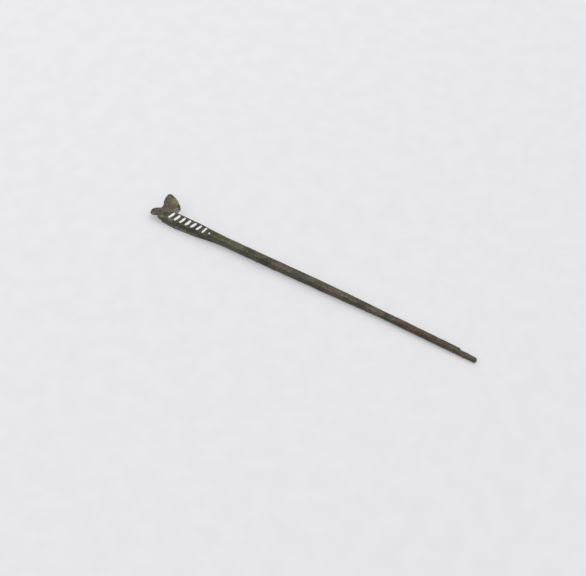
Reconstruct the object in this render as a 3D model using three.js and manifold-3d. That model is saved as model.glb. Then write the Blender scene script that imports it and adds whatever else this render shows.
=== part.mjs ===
// An old bronze hat pin, lying on its side. A forged stem is squared and thick at the head end, turns
// round along its length and ends in a blunt point. A head plate with two petals is half-lapped into
// the thick end and soft-soldered there. A varnish patch on the neck carries a row of plain ink ticks.
// Millimetres. +X runs from the head to the point, +Z is up, and the origin is the middle of the
// neck's flat underside. The pin lies on the plane z = 0, on that flat and on its point.
import * as THREE from "three";
import { mergeVertices } from "three/addons/utils/BufferGeometryUtils.js";
import Module from "manifold-3d";

const wasm = await Module();
wasm.setup();

// Stem: overall. Lengths along the stem start at the neck's end.
const STEM_LENGTH = 104.9;
const STEM_BOW = 0.32; // sideways bow at the middle of the stem, to +Y
const STEM_OFFSET = 0.1; // the bar's centreline lies this far to +Y of the neck's

// Neck: the thick, flat-bottomed end that carries the head.
const NECK_WIDTH = 3.5;
const NECK_HEIGHT = 3.0;
const NECK_LENGTH = 9;
const NECK_CORNER = 0.3; // edge radius
const NECK_END_CHAMFER = 0.15;
const TAPER_LENGTH = 12; // from the full neck down to the bar

// Bar: square at first, then round.
const BAR_AT_NECK = 2.3; // across flats
const BAR_AT_POINT = 2.05; // diameter
const BAR_CORNER = 0.32; // edge radius of the square length
const SQUARE_LENGTH = 35; // from the neck's end to where the edges begin to round off
const ROUNDING_LENGTH = 27;
const ROUNDEST = 0.95; // corner radius as a share of half the bar, where the bar counts as round

// Point: a small shoulder, a short taper and a blunt nose.
const POINT_LENGTH = 7;
const POINT_SHOULDER = 0.16; // step down onto the point
const SHOULDER_LENGTH = 0.6;
const NOSE_DIAMETER = 1.25;
const NOSE_LENGTH = 0.6;
const NOSE_END = 0.2; // the blunt end's diameter as a share of the nose's

// Head plate: a hub let into the neck's top, with one petal past its end and one to its far side.
const PLATE_THICKNESS = 1.5; // of the hub and the lap
const PETAL_EDGE = 0.55; // thickness at a petal's rim
const HUB_RADIUS = 2.15;
const HUB_FROM_END = 1.3; // the hub's middle, from the neck's end
const HUB_OFFSET = 0.1; // and to +Y of the neck's centreline
const LAP_PAST_HUB = 0.35; // the rebate runs on this far past the hub and the side petal
const SOLDER_THICKNESS = 0.12;
const JOINT_GAP = 0.02; // clearance between neighbouring solids

// A petal's way runs from the hub's middle: reach and drift are level, rise is up, and turn is how
// far along the reach the drift and the rise begin.
const END_PETAL = {
  reach: 5.35,
  drift: 0.95, // to -Y
  rise: -0.6,
  turn: 0.3,
  rootHalfWidth: 1.95,
  fullHalfWidth: 1.7,
  widestAt: 0.4,
  bluntness: 2.1,
};
const SIDE_PETAL = {
  reach: 5.5,
  drift: 2.55, // to -X
  rise: 2.2,
  turn: 0.62,
  rootHalfWidth: 2.3,
  fullHalfWidth: 2.9,
  widestAt: 0.38,
  bluntness: 1.6,
};

// Varnish patch and ink on the neck's top face.
const FILM_THICKNESS = 0.05;
const FILM_START = 0.9;
const FILM_LENGTH = 15.8;
const FILM_INSET = 0.06; // from the edge of the flat top to the film's edge
const INK_THICKNESS = 0.04;
const TICK_COUNT = 7;
const TICK_WIDTH = 0.4;
const TICK_SLANT = 0.4; // how far a tick's end leans along the neck, as a share of its half length
const TICK_INSET = 0.06; // from the film's edge to a tick's end
const TICK_MARGIN = 1.5; // from the film's start to the middle of the first tick
const DOT_MARGIN = 0.65; // from the film's end to the middle of the dot
const DOT_DIAMETER = 0.6;

// Mesh fineness.
const CORNER_STEPS = 4; // facets on each corner of a stem section
const PETAL_LENGTH_STEPS = 16;
const PETAL_WIDTH_STEPS = 10;
const PETAL_TIP = 0.05; // half width left at a petal's very tip, as a share of its full half width
const ROUND_SIDES = 32;

// Where the named lengths end, along X.
const TAPER_END = NECK_LENGTH + TAPER_LENGTH;
const FILM_END = FILM_START + FILM_LENGTH;
const POINT_START = STEM_LENGTH - POINT_LENGTH;
const NOSE_START = STEM_LENGTH - NOSE_LENGTH;
const PLATE_HALF_LENGTH = Math.max(HUB_RADIUS, SIDE_PETAL.fullHalfWidth);
const LAP_LENGTH = HUB_FROM_END + PLATE_HALF_LENGTH + LAP_PAST_HUB;

// Heights in the lap joint.
const PLATE_BOTTOM = NECK_HEIGHT - PLATE_THICKNESS;
const PLATE_MIDDLE = NECK_HEIGHT - PLATE_THICKNESS / 2;
const SOLDER_TOP = PLATE_BOTTOM - JOINT_GAP;
const SOLDER_BOTTOM = SOLDER_TOP - SOLDER_THICKNESS;
const REBATE_FLOOR = SOLDER_BOTTOM - JOINT_GAP;

const material = (color, roughness, metalness) =>
  new THREE.MeshStandardMaterial({ color, roughness, metalness });
const stemBronze = material(0x4c4a3b, 0.55, 0.5);
const headBronze = material(0x6a6455, 0.6, 0.4);
const solder = material(0x8d8d84, 0.5, 0.6);
const varnish = material(0x35342b, 0.25, 0);
const ink = material(0xf2f1ec, 0.6, 0);

const lerp = THREE.MathUtils.lerp;
const ease = (x, from, length) => THREE.MathUtils.smoothstep(x, from, from + length);
const round = (share) => Math.sqrt(Math.max(0, 1 - share * share)); // height of a quarter circle

// Thickness of the bar, without the point.
const plainBar = (x) => lerp(BAR_AT_NECK, BAR_AT_POINT, x / STEM_LENGTH);

// Height of the stem's top face: level as far as the varnish goes, then falling so that the bar's
// underside meets z = 0 where the point starts.
function topAt(x) {
  const fall = (NECK_HEIGHT - plainBar(POINT_START)) / (POINT_START - FILM_END);
  return NECK_HEIGHT - fall * Math.max(0, x - FILM_END);
}

// Thickness of the bar, with the shoulder, taper and nose of the point.
function barAt(x) {
  const shoulder = POINT_SHOULDER * ease(x, POINT_START, SHOULDER_LENGTH);
  const onPoint = Math.max(0, (x - POINT_START) / POINT_LENGTH);
  const onNose = Math.max(0, (x - NOSE_START) / NOSE_LENGTH);
  return lerp(plainBar(x) - shoulder, NOSE_DIAMETER, onPoint) * lerp(1, NOSE_END, 1 - round(onNose));
}

// The stem's section at x: its middle, half sizes and corner radius.
function sectionAt(x) {
  const toBar = ease(x, NECK_LENGTH, TAPER_LENGTH);
  const toRound = ease(x, SQUARE_LENGTH, ROUNDING_LENGTH);
  const bar = barAt(x);
  const endChamfer = Math.max(0, NECK_END_CHAMFER - x);
  const halfWidth = lerp(NECK_WIDTH, bar, toBar) / 2 - endChamfer;
  const halfHeight = lerp(NECK_HEIGHT, bar, toBar) / 2 - endChamfer;
  const corner = lerp(lerp(NECK_CORNER, BAR_CORNER, toBar), (ROUNDEST * bar) / 2, toRound);
  const along = THREE.MathUtils.clamp((x - NECK_LENGTH) / (STEM_LENGTH - NECK_LENGTH), 0, 1);
  const pointBar = barAt(Math.min(x, NOSE_START));
  const middle = x < POINT_START ? topAt(x) - lerp(NECK_HEIGHT, bar, toBar) / 2 : pointBar / 2;
  return {
    y: STEM_OFFSET * toBar + STEM_BOW * Math.sin(Math.PI * along),
    z: middle,
    halfWidth,
    halfHeight,
    corner: Math.min(corner, ROUNDEST * Math.min(halfWidth, halfHeight)),
  };
}

// Half width of the flat part of the stem's top face.
function flatHalfWidth(x) {
  const section = sectionAt(x);
  return section.halfWidth - section.corner;
}

// X of each section: even steps, with closer ones where the shape turns quickly.
function stations() {
  const even = (from, to, step) => {
    const count = Math.round((to - from) / step);
    return Array.from({ length: count }, (_, i) => lerp(from, to, i / count));
  };
  return [
    0,
    ...even(NECK_END_CHAMFER, NECK_LENGTH, 2.2),
    ...even(NECK_LENGTH, TAPER_END, 1),
    ...even(TAPER_END, POINT_START, 3),
    ...even(POINT_START, POINT_START + SHOULDER_LENGTH, SHOULDER_LENGTH / 3),
    ...even(POINT_START + SHOULDER_LENGTH, NOSE_START, 1.4),
    ...even(NOSE_START, STEM_LENGTH, NOSE_LENGTH / 6),
    STEM_LENGTH,
  ];
}

// Moves every vertex of a geometry: place(position) returns its new position.
function reshape(geometry, place) {
  const position = geometry.attributes.position;
  const vertex = new THREE.Vector3();
  for (let i = 0; i < position.count; i++) {
    vertex.fromBufferAttribute(position, i);
    position.setXYZ(i, ...place(vertex).toArray());
  }
  return geometry;
}

// The stem as one skin: a unit cylinder along Y whose rings become the rounded-square sections.
function stemBlank() {
  const xs = stations();
  const sides = 4 * (CORNER_STEPS + 1);
  const blank = new THREE.CylinderGeometry(1, 1, 1, sides, xs.length - 1);
  return reshape(blank, (vertex) => {
    const x = xs[Math.round((vertex.y + 0.5) * (xs.length - 1))];
    const section = sectionAt(x);
    const radius = Math.hypot(vertex.x, vertex.z);
    if (radius < 0.5) return new THREE.Vector3(x, section.y, section.z);
    const turn = (Math.atan2(vertex.x, vertex.z) / (2 * Math.PI) + 1) % 1;
    const side = Math.round(turn * sides) % sides;
    const corner = Math.floor(side / (CORNER_STEPS + 1));
    const angle = ((corner + (side % (CORNER_STEPS + 1)) / CORNER_STEPS) * Math.PI) / 2;
    const middle = ((corner + 0.5) * Math.PI) / 2;
    const y =
      Math.sign(Math.cos(middle)) * (section.halfWidth - section.corner) +
      section.corner * Math.cos(angle);
    const z =
      Math.sign(Math.sin(middle)) * (section.halfHeight - section.corner) +
      section.corner * Math.sin(angle);
    return new THREE.Vector3(x, section.y + y, section.z + z);
  });
}

// A geometry as a manifold-3d solid, and a solid back as a geometry.
function solidOf(geometry) {
  const plain = geometry.clone();
  plain.deleteAttribute("normal");
  plain.deleteAttribute("uv");
  const merged = mergeVertices(plain, 1e-4);
  return new wasm.Manifold(
    new wasm.Mesh({
      numProp: 3,
      vertProperties: new Float32Array(merged.attributes.position.array),
      triVerts: new Uint32Array(merged.index.array),
    }),
  );
}

function geometryOf(solid) {
  const made = solid.getMesh();
  const geometry = new THREE.BufferGeometry();
  geometry.setAttribute("position", new THREE.BufferAttribute(made.vertProperties, 3));
  geometry.setIndex(new THREE.BufferAttribute(made.triVerts, 1));
  geometry.computeVertexNormals();
  return geometry;
}

// A block between two heights, wide enough to cross the neck, from before its end to endX.
function slab(endX, bottom, top) {
  const before = NECK_WIDTH;
  const block = new THREE.BoxGeometry(endX + before, 2 * NECK_WIDTH, top - bottom);
  return solidOf(block.translate((endX - before) / 2, 0, (top + bottom) / 2));
}

// Half width of a petal at a share u of its way.
function petalHalfWidth(shape, u) {
  if (u < shape.widestAt) {
    return lerp(shape.rootHalfWidth, shape.fullHalfWidth, ease(u, 0, shape.widestAt));
  }
  const past = (u - shape.widestAt) / (1 - shape.widestAt);
  return shape.fullHalfWidth * Math.max(PETAL_TIP, Math.sqrt(1 - past ** shape.bluntness));
}

// A petal: a leaf along a curved way, as thick as the plate at its root and thin at its rim.
// outward is its level direction and sideways the direction of its drift.
function petal(shape, outward, sideways) {
  const at = (reach, drift, rise) =>
    new THREE.Vector3(HUB_FROM_END, HUB_OFFSET, PLATE_MIDDLE)
      .addScaledVector(outward, reach)
      .addScaledVector(sideways, drift)
      .add(new THREE.Vector3(0, 0, rise));
  const way = new THREE.QuadraticBezierCurve3(
    at(0, 0, 0),
    at(shape.turn * shape.reach, 0, 0),
    at(shape.reach, shape.drift, shape.rise),
  );
  const across = new THREE.Vector3(0, 0, 1).cross(outward);
  const leaf = new THREE.BoxGeometry(1, 1, 1, PETAL_LENGTH_STEPS, PETAL_WIDTH_STEPS, 1);
  return reshape(leaf, (vertex) => {
    const u = vertex.x + 0.5;
    const v = 2 * vertex.y;
    const crown = (1 - v * v) * (1 - 0.7 * u);
    const thickness = lerp(PETAL_EDGE, PLATE_THICKNESS - JOINT_GAP, crown);
    return way
      .getPoint(u)
      .addScaledVector(across, v * petalHalfWidth(shape, u))
      .add(new THREE.Vector3(0, 0, vertex.z * thickness));
  });
}

const endPetal = () => petal(END_PETAL, new THREE.Vector3(-1, 0, 0), new THREE.Vector3(0, -1, 0));
const sidePetal = () => petal(SIDE_PETAL, new THREE.Vector3(0, 1, 0), new THREE.Vector3(-1, 0, 0));

// The plate's round middle.
function hub() {
  const disc = new THREE.CylinderGeometry(HUB_RADIUS, HUB_RADIUS, PLATE_THICKNESS, ROUND_SIDES);
  disc.rotateX(Math.PI / 2);
  return disc.translate(HUB_FROM_END, HUB_OFFSET, PLATE_MIDDLE);
}

const blank = solidOf(stemBlank());

function stem() {
  return geometryOf(blank.subtract(slab(LAP_LENGTH, REBATE_FLOOR, 2 * NECK_HEIGHT)));
}

// The plate's root is the part of the blank that the rebate takes away, so its sides stay flush.
function headPlate() {
  const root = blank.intersect(slab(LAP_LENGTH - JOINT_GAP, PLATE_BOTTOM, 2 * NECK_HEIGHT));
  return geometryOf(root.add(solidOf(hub())).add(solidOf(endPetal())).add(solidOf(sidePetal())));
}

function solderJoint() {
  return geometryOf(blank.intersect(slab(LAP_LENGTH - JOINT_GAP, SOLDER_BOTTOM, SOLDER_TOP)));
}

// A film of the given outline and thickness, lying level at a height above the neck's top face.
function film(outline, thickness, above) {
  const sheet = new THREE.ExtrudeGeometry(outline, {
    depth: thickness,
    bevelEnabled: false,
    curveSegments: 6,
  });
  return sheet.translate(0, 0, NECK_HEIGHT + above);
}

const filmHalfWidth = (x) => flatHalfWidth(x) - FILM_INSET;
const filmMiddle = (x) => sectionAt(x).y;

// The varnish patch narrows with the neck and has round ends.
function varnishPatch() {
  const steps = 10;
  const outline = new THREE.Shape();
  const startHalf = filmHalfWidth(FILM_START);
  const endHalf = filmHalfWidth(FILM_END);
  outline.absarc(FILM_START + startHalf, filmMiddle(FILM_START), startHalf, Math.PI / 2, -Math.PI / 2);
  for (let i = 1; i < steps; i++) {
    const x = lerp(FILM_START + startHalf, FILM_END - endHalf, i / steps);
    outline.lineTo(x, filmMiddle(x) - filmHalfWidth(x));
  }
  outline.absarc(FILM_END - endHalf, filmMiddle(FILM_END), endHalf, -Math.PI / 2, Math.PI / 2);
  for (let i = steps - 1; i > 0; i--) {
    const x = lerp(FILM_START + startHalf, FILM_END - endHalf, i / steps);
    outline.lineTo(x, filmMiddle(x) + filmHalfWidth(x));
  }
  return film(outline, FILM_THICKNESS, JOINT_GAP);
}

const inkAbove = JOINT_GAP + FILM_THICKNESS + JOINT_GAP;
const inkStart = FILM_START + TICK_MARGIN;
const inkEnd = FILM_END - DOT_MARGIN;
const inkPitch = (inkEnd - inkStart) / TICK_COUNT;

// One plain slanting ink stroke across the film.
function inkTick(index) {
  const x = inkStart + inkPitch * index;
  const half = Math.min(filmHalfWidth(x), filmHalfWidth(x + inkPitch / 2)) - TICK_INSET;
  const lean = TICK_SLANT * half;
  const y = filmMiddle(x);
  const outline = new THREE.Shape([
    new THREE.Vector2(x - TICK_WIDTH / 2 - lean, y - half),
    new THREE.Vector2(x + TICK_WIDTH / 2 - lean, y - half),
    new THREE.Vector2(x + TICK_WIDTH / 2 + lean, y + half),
    new THREE.Vector2(x - TICK_WIDTH / 2 + lean, y + half),
  ]);
  return film(outline, INK_THICKNESS, inkAbove);
}

function inkDot() {
  const outline = new THREE.Shape();
  outline.absarc(inkEnd, filmMiddle(inkEnd), DOT_DIAMETER / 2, 0, 2 * Math.PI);
  return film(outline, INK_THICKNESS, inkAbove);
}

const pin = new THREE.Group();
pin.position.x = -NECK_LENGTH / 2;

function addPiece(name, geometry, finish) {
  const mesh = new THREE.Mesh(geometry, finish);
  mesh.name = name;
  pin.add(mesh);
}

addPiece("stem", stem(), stemBronze);
addPiece("head_plate", headPlate(), headBronze);
addPiece("solder_joint", solderJoint(), solder);
addPiece("varnish_patch", varnishPatch(), varnish);
for (let i = 0; i < TICK_COUNT; i++) addPiece(`ink_tick_${i + 1}`, inkTick(i), ink);
addPiece("ink_dot", inkDot(), ink);

export default pin;
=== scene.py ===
"""The looks of an old bronze hat pin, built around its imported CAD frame.

The pin lies on a pale table: a thick neck with a soldered two-petal head plate at one end, a bar
that turns from square to round, and a blunt point. Lengths in the classes' fields are millimetres
and are turned to metres by MM. The stem's places along the pin are measured from the neck's end
towards the point, as in the CAD. A Tint's centre is in the frame.
"""

import logging
import math
from dataclasses import dataclass, field
from enum import Enum
from typing import Sequence

import bpy
import numpy as np
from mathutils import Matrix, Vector
from mathutils.bvhtree import BVHTree


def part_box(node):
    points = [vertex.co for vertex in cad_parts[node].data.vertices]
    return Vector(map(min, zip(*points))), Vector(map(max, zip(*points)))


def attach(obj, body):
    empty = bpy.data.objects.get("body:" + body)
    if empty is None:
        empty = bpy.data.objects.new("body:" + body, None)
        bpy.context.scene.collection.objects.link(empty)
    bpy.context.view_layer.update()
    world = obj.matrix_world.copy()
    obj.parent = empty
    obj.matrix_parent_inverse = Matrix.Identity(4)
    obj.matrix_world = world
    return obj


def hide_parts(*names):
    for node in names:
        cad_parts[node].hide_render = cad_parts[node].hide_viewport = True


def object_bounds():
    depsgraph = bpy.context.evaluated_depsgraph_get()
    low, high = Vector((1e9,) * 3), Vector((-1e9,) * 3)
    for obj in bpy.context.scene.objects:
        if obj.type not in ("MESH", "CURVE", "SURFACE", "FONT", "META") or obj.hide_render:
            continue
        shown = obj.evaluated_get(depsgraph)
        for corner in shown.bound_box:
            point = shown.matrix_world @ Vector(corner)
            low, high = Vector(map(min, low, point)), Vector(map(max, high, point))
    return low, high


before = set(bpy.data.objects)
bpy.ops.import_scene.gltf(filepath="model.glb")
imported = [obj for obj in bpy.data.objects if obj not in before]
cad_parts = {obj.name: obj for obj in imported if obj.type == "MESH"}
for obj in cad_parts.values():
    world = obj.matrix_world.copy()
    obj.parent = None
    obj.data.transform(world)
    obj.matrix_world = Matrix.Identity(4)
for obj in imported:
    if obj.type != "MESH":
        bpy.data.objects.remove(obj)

MM = 0.001
SEED = 11
NECK_END = 4.5  # mm from the frame's origin to the neck's end
ROOT_BODY = "root"
CAD_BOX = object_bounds()
LOG = logging.getLogger("hat_pin")

# The node kinds that nearly every pattern and shape here is made of.
MATH = "ShaderNodeMath"
VECTOR_MATH = "ShaderNodeVectorMath"
MAP_RANGE = "ShaderNodeMapRange"
NOISE = "ShaderNodeTexNoise"
CELLS = "ShaderNodeTexVoronoi"
BUMP = "ShaderNodeBump"
COMBINE = "ShaderNodeCombineXYZ"
SEPARATE = "ShaderNodeSeparateXYZ"
SET_POSITION = "GeometryNodeSetPosition"
SMOOTH = "SMOOTHSTEP"

Link = object  # a number, a vector, a socket, or a node whose first output is meant
Range = tuple[float, float]


class Cut(Enum):
    """What a boolean does with a cutter."""

    REMOVE = "DIFFERENCE"
    KEEP = "INTERSECT"


# ---------------------------------------------------------------------------------------- helpers


def linear(hex_colour: str) -> tuple[float, float, float, float]:
    """Turns an sRGB hex colour into a linear colour.

    Args:
        hex_colour: a colour such as "#4c4a3b".

    Returns:
        Linear red, green, blue and an alpha of 1.
    """
    shares = [int(hex_colour[i:i + 2], 16) / 255 for i in (1, 3, 5)]
    red, green, blue = (s / 12.92 if s <= 0.04045 else ((s + 0.055) / 1.055) ** 2.4 for s in shares)
    return red, green, blue, 1.0


def add_node(tree: bpy.types.NodeTree, kind: str, links: Sequence[Link] | dict | None = None,
             **settings: object) -> bpy.types.Node:
    """Adds a node with its settings and links.

    Args:
        tree: the shader or geometry tree.
        kind: the node's type name.
        links: what each input takes, in order or by name. None leaves an input alone.
        **settings: the node's own properties.

    Returns:
        The new node.
    """
    node = tree.nodes.new(kind)
    for name, value in settings.items():
        setattr(node, name, value)
    pairs = links.items() if isinstance(links, dict) else enumerate(links or ())
    for key, value in pairs:
        if isinstance(value, bpy.types.Node):
            value = next(output for output in value.outputs if output.enabled)
        if isinstance(value, bpy.types.NodeSocket):
            tree.links.new(value, node.inputs[key])
        elif value is not None:
            node.inputs[key].default_value = value
    return node


def new_piece(name: str, mesh: bpy.types.Mesh) -> bpy.types.Object:
    """Links a new object that holds a mesh, at the origin.

    Args:
        name: the object's name.
        mesh: its mesh.

    Returns:
        The new object.
    """
    piece = bpy.data.objects.new(name, mesh)
    bpy.context.scene.collection.objects.link(piece)
    return piece


def settle(piece: bpy.types.Object) -> None:
    """Turns a piece's live modifiers into its plain mesh.

    Args:
        piece: the piece, which keeps no modifier.
    """
    evaluated = piece.evaluated_get(bpy.context.evaluated_depsgraph_get())
    mesh = bpy.data.meshes.new_from_object(evaluated)
    piece.modifiers.clear()
    piece.data = mesh


def loft(name: str, rings: np.ndarray) -> bpy.types.Mesh:
    """Skins closed rings into one closed body with flat ends.

    Args:
        name: the mesh's name.
        rings: places in metres, as rings by points by 3.

    Returns:
        The closed mesh, with its faces pointing out.
    """
    count, around = rings.shape[:2]
    faces = [
        (i * around + j, i * around + (j + 1) % around, (i + 1) * around + (j + 1) % around,
         (i + 1) * around + j)
        for i in range(count - 1) for j in range(around)
    ]
    faces.append(tuple(reversed(range(around))))
    faces.append(tuple(range((count - 1) * around, count * around)))
    mesh = bpy.data.meshes.new(name)
    mesh.from_pydata(rings.reshape(-1, 3).tolist(), [], faces)
    mesh.validate()
    turn_outward(mesh)
    return mesh


def turn_outward(mesh: bpy.types.Mesh) -> None:
    """Makes a closed mesh's faces point out, which is when its signed volume is positive.

    Args:
        mesh: a closed mesh whose faces all point the same way, in or out.
    """
    mesh.calc_loop_triangles()
    corners = np.array([[mesh.vertices[i].co for i in t.vertices] for t in mesh.loop_triangles])
    volume = np.einsum("ij,ij->i", corners[:, 0], np.cross(corners[:, 1], corners[:, 2])).sum()
    if volume <= 0:
        mesh.flip_normals()


def cut(piece: bpy.types.Object, low: Vector, high: Vector, how: Cut) -> None:
    """Cuts a piece by a box, or keeps only what is in the box.

    Args:
        piece: the piece to cut.
        low: the box's lowest corner, in metres.
        high: its highest corner.
        how: whether the box's inside is removed or kept.
    """
    corners = [
        Vector((x, y, z)) for x in (low.x, high.x) for y in (low.y, high.y) for z in (low.z, high.z)
    ]
    faces = [(0, 1, 3, 2), (4, 6, 7, 5), (0, 4, 5, 1), (2, 3, 7, 6), (0, 2, 6, 4), (1, 5, 7, 3)]
    mesh = bpy.data.meshes.new("cutter")
    mesh.from_pydata(corners, [], faces)
    cutter = new_piece("cutter", mesh)
    modifier = piece.modifiers.new("cut", "BOOLEAN")
    modifier.operation = how.value
    modifier.solver = "EXACT"
    modifier.object = cutter
    settle(piece)
    bpy.data.objects.remove(cutter)


def smooth_faces(piece: bpy.types.Object, sharpest: float = 50.0) -> None:
    """Shades a piece smooth, but for edges sharper than an angle in degrees."""
    piece.data.shade_smooth()
    piece.data.set_sharp_from_angle(angle=math.radians(sharpest))


def dress(piece: bpy.types.Object, finish: bpy.types.Material, slot: str, *nodes: str) -> None:
    """Gives a piece its material and its body, and hides the CAD nodes it stands for.

    Args:
        piece: the finished piece.
        finish: its material.
        slot: not used.
        *nodes: the CAD nodes that it replaces, if any.
    """
    piece.data.materials.clear()
    piece.data.materials.append(finish)
    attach(piece, ROOT_BODY)
    if nodes:
        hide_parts(*nodes)
    LOG.info("%s: %d faces, %s", piece.name, len(piece.data.polygons), finish.name)


class ShapeRule:
    """A Geometry Nodes tree with named size inputs, turned into a plain mesh when it is applied."""

    def __init__(self, name: str, sizes: dict[str, float | int]) -> None:
        """Starts a tree.

        Args:
            name: the tree's name.
            sizes: the named inputs and their values, in metres where they are lengths.
        """
        self.name = name
        self.sizes = sizes
        self.tree = bpy.data.node_groups.new(name, "GeometryNodeTree")
        made = self.tree.interface.new_socket
        made("Geometry", in_out="INPUT", socket_type="NodeSocketGeometry")
        kinds = {int: "NodeSocketInt", float: "NodeSocketFloat"}
        self.sockets = {
            key: made(key, in_out="INPUT", socket_type=kinds[type(value)])
            for key, value in sizes.items()
        }
        made("Geometry", in_out="OUTPUT", socket_type="NodeSocketGeometry")
        self.entry = add_node(self.tree, "NodeGroupInput")

    def __getitem__(self, key: str) -> bpy.types.NodeSocket:
        """The tree's input of that name."""
        return self.entry.outputs[key]

    def add(self, kind: str, links: Sequence[Link] | dict | None = None,
            **settings: object) -> bpy.types.Node:
        """Adds a node to the tree."""
        return add_node(self.tree, kind, links, **settings)

    def apply(self, piece: bpy.types.Object, geometry: Link, finish: bpy.types.Material) -> None:
        """Ends the tree and turns the piece into what it makes.

        Args:
            piece: the object that takes the result.
            geometry: the node that gives the finished geometry.
            finish: the material of every face.
        """
        real = self.add("GeometryNodeRealizeInstances", [geometry])
        dressed = self.add("GeometryNodeSetMaterial", {"Geometry": real, "Material": finish})
        self.add("NodeGroupOutput", [dressed])
        modifier = piece.modifiers.new(self.name, "NODES")
        modifier.node_group = self.tree
        for key, value in self.sizes.items():
            modifier[self.sockets[key].identifier] = value
        settle(piece)


# --------------------------------------------------------------------------------------- finishes


MIDDLING = (0.3, 0.7)  # the noise limits of an even pattern, half light and half dark


@dataclass(frozen=True)
class Finish:
    """A surface finish: a named material whose patterns follow the object's own coordinates."""

    name: str

    def make(self) -> bpy.types.Material:
        """Builds the material.

        Returns:
            The material, with its patterns linked to one Principled shader.
        """
        finish = bpy.data.materials.new(self.name)
        finish.use_nodes = True
        tree = finish.node_tree
        tree.nodes.clear()
        place = add_node(tree, "ShaderNodeTexCoord").outputs["Object"]
        shader = add_node(tree, "ShaderNodeBsdfPrincipled", self.surface(tree, place))
        add_node(tree, "ShaderNodeOutputMaterial", [shader])
        return finish

    def surface(self, tree: bpy.types.NodeTree, place: bpy.types.NodeSocket) -> dict[str, Link]:
        """The shader's inputs.

        Args:
            tree: the material's tree.
            place: the object coordinates, in metres.

        Returns:
            What goes into each named input of the shader.
        """
        raise NotImplementedError

    @staticmethod
    def cloud(tree: bpy.types.NodeTree, place: Link, size: float, limits: Range,
              stretch: float = 1.0) -> bpy.types.Node:
        """A pattern of soft patches.

        Args:
            tree: the material's tree.
            place: the coordinates it follows.
            size: millimetres across a patch.
            limits: the noise values that become 0 and 1.
            stretch: how many times longer the patches are along the pin than across it.

        Returns:
            The node that gives 0 to 1.
        """
        drawn = add_node(tree, "ShaderNodeMapping", {"Vector": place, "Scale": (1 / stretch, 1.0, 1.0)})
        noise = add_node(tree, NOISE, {"Vector": drawn, "Scale": 1 / (size * MM), "Detail": 3.0})
        return add_node(tree, MAP_RANGE, [noise, *limits, 0.0, 1.0], interpolation_type=SMOOTH)

    @staticmethod
    def over(tree: bpy.types.NodeTree, under: Link, colour: Link, share: Link) -> bpy.types.Node:
        """Lays one colour over another."""
        return add_node(tree, "ShaderNodeMix", {0: share, 6: under, 7: colour}, data_type="RGBA")


@dataclass(frozen=True)
class Tint:
    """A soft-edged patch of another colour.

    The centre and reach are millimetres in the pin's frame. A reach that is large along Y and Z
    makes a band round the stem.
    """

    colour: str
    centre: tuple[float, float, float]
    reach: tuple[float, float, float]
    strength: float = 1.0
    torn: float = 0.9  # how far the patch's edge is torn, as a share of its reach
    fade: Range = (1.7, 0.6)  # where the patch ends and where it is full, as shares of its reach

    def lay(self, tree: bpy.types.NodeTree, place: Link, under: Link,
            ragged: Link) -> bpy.types.Node:
        """Lays the patch over a colour.

        Args:
            tree: the material's tree.
            place: the object coordinates.
            under: the colour below.
            ragged: a 0 to 1 pattern that breaks up the patch's edge.

        Returns:
            The node that gives the new colour.
        """
        centre, reach = Vector(self.centre) * MM, Vector(self.reach) * MM
        offset = add_node(tree, VECTOR_MATH, [place, centre], operation="SUBTRACT")
        shares = add_node(tree, VECTOR_MATH, [offset, reach], operation="DIVIDE")
        far = add_node(tree, VECTOR_MATH, [shares], operation="LENGTH").outputs["Value"]
        edge = add_node(tree, MATH, [ragged, self.torn, far], operation="MULTIPLY_ADD")
        mask = add_node(tree, MAP_RANGE, [edge, *self.fade, 0.0, self.strength],
                        interpolation_type=SMOOTH)
        return Finish.over(tree, under, linear(self.colour), mask)


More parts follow.
